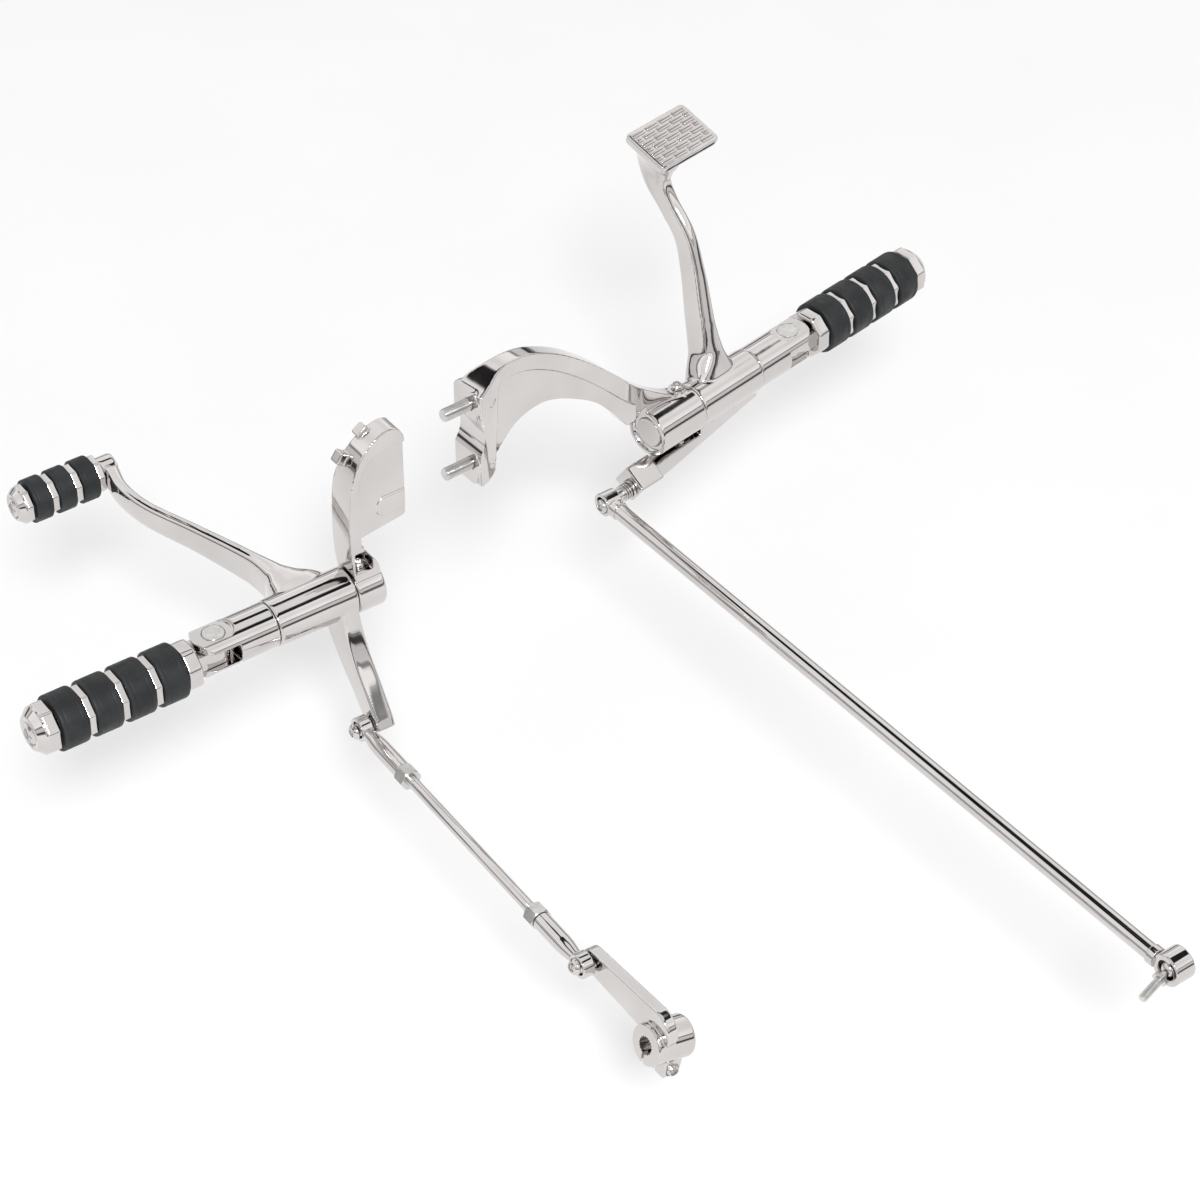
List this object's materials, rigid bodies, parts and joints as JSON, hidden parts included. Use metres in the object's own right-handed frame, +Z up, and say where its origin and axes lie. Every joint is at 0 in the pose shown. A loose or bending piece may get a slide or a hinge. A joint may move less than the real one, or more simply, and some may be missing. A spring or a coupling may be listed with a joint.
{
  "type": "motorcycle forward controls",
  "caption": "Chromed forward foot controls for a cruiser: shift lever with toe peg, linkage and shifter arm, brake pedal with long rod, folding ringed foot pegs and both frame brackets.",
  "frame": {"origin": "middle of the face by which the shift-side bracket bolts to the motorcycle's frame", "axes": "+X is the rider's right, +Y is forward, +Z is up"},
  "size_m": [0.7794, 0.7715, 0.3022],
  "materials": {
    "chrome": "bright chrome plate on cast and turned steel",
    "zinc": "zinc-plated fasteners",
    "steel": "ground steel balls",
    "bronze": "sintered bronze bushes",
    "rubber": "matt black moulded rubber"
  },
  "bodies": {
    "frame_side": {"left_bracket": "chrome", "left_lock_screw": "chrome", "left_peg_mount": "chrome", "left_bush": "bronze", "left_peg_pin": "zinc", "left_pin_clip": "zinc", "right_bracket": "chrome", "right_lock_screw": "chrome", "right_peg_mount": "chrome", "right_bush": "bronze", "right_peg_pin": "zinc", "right_pin_clip": "zinc", "right_stud_lower": "zinc", "right_stud_upper": "zinc"},
    "shift_lever": {"shift_lever": "chrome", "toe_core": "chrome", "toe_ring_1": "rubber", "toe_ring_2": "rubber", "toe_ring_3": "rubber", "toe_cap": "chrome", "toe_bolt": "chrome", "toe_lock_screw": "zinc", "upper_ball": "steel", "upper_eye_screw": "chrome"},
    "shift_rod": {"shift_rod": "chrome", "upper_rod_end": "chrome", "lower_rod_end": "chrome", "upper_jam_nut": "zinc", "lower_jam_nut": "zinc"},
    "shifter_arm": {"shifter_arm": "chrome", "pinch_bolt": "zinc", "lower_ball": "steel", "lower_eye_screw": "chrome"},
    "left_peg": {"left_peg_core": "chrome", "left_ring_1": "rubber", "left_ring_2": "rubber", "left_ring_3": "rubber", "left_ring_4": "rubber", "left_peg_cap": "chrome", "left_cap_screw": "chrome"},
    "right_peg": {"right_peg_core": "chrome", "right_ring_1": "rubber", "right_ring_2": "rubber", "right_ring_3": "rubber", "right_ring_4": "rubber", "right_peg_cap": "chrome", "right_cap_screw": "chrome"},
    "brake_pedal": {"brake_pedal": "chrome", "stop_screw": "zinc", "front_ball": "steel", "front_bolt": "zinc", "front_spacer": "zinc"},
    "brake_rod": {"brake_rod": "chrome"},
    "rear_ball_stud": {"rear_ball_stud": "zinc"}
  },
  "joints": [
    {"name": "shift_lever_pivot", "type": "hinge", "parent": "frame_side", "child": "shift_lever", "pos_m": [-0.0255, 0, -0.083], "axis": [1, 0, 0], "range_deg": [-12, 12]},
    {"name": "shift_rod_front_joint", "type": "hinge", "parent": "shift_lever", "child": "shift_rod", "pos_m": [-0.0655, -0.048, -0.159], "axis": [1, 0, 0], "range_deg": [-12, 12]},
    {"name": "shift_rod_rear_joint", "type": "hinge", "parent": "shift_rod", "child": "shifter_arm", "pos_m": [-0.07241, -0.31191, -0.159], "axis": [0.9703, 0, -0.2419], "range_deg": [-14, 14]},
    {"name": "left_peg_fold", "type": "hinge", "parent": "frame_side", "child": "left_peg", "pos_m": [-0.1455, 0, -0.083], "axis": [0, 0, 1], "range_deg": [0, 80]},
    {"name": "right_peg_fold", "type": "hinge", "parent": "frame_side", "child": "right_peg", "pos_m": [0.35868, 0.04923, -0.083], "axis": [0, 0, -1], "range_deg": [0, 80]},
    {"name": "brake_pedal_pivot", "type": "hinge", "parent": "frame_side", "child": "brake_pedal", "pos_m": [0.2166, 0.0229, -0.083], "axis": [-0.9833, -0.1822, 0], "range_deg": [0, 14]},
    {"name": "brake_rod_front_joint", "type": "hinge", "parent": "brake_pedal", "child": "brake_rod", "pos_m": [0.17363, 0.00782, -0.114], "axis": [0.9833, 0.1822, 0], "range_deg": [-10, 10]},
    {"name": "rear_stud_swing", "type": "hinge", "parent": "brake_rod", "child": "rear_ball_stud", "pos_m": [0.1932, -0.55273, -0.11792], "axis": [-0.0349, 0.9994, 0.007], "range_deg": [-10, 32]}
  ]
}
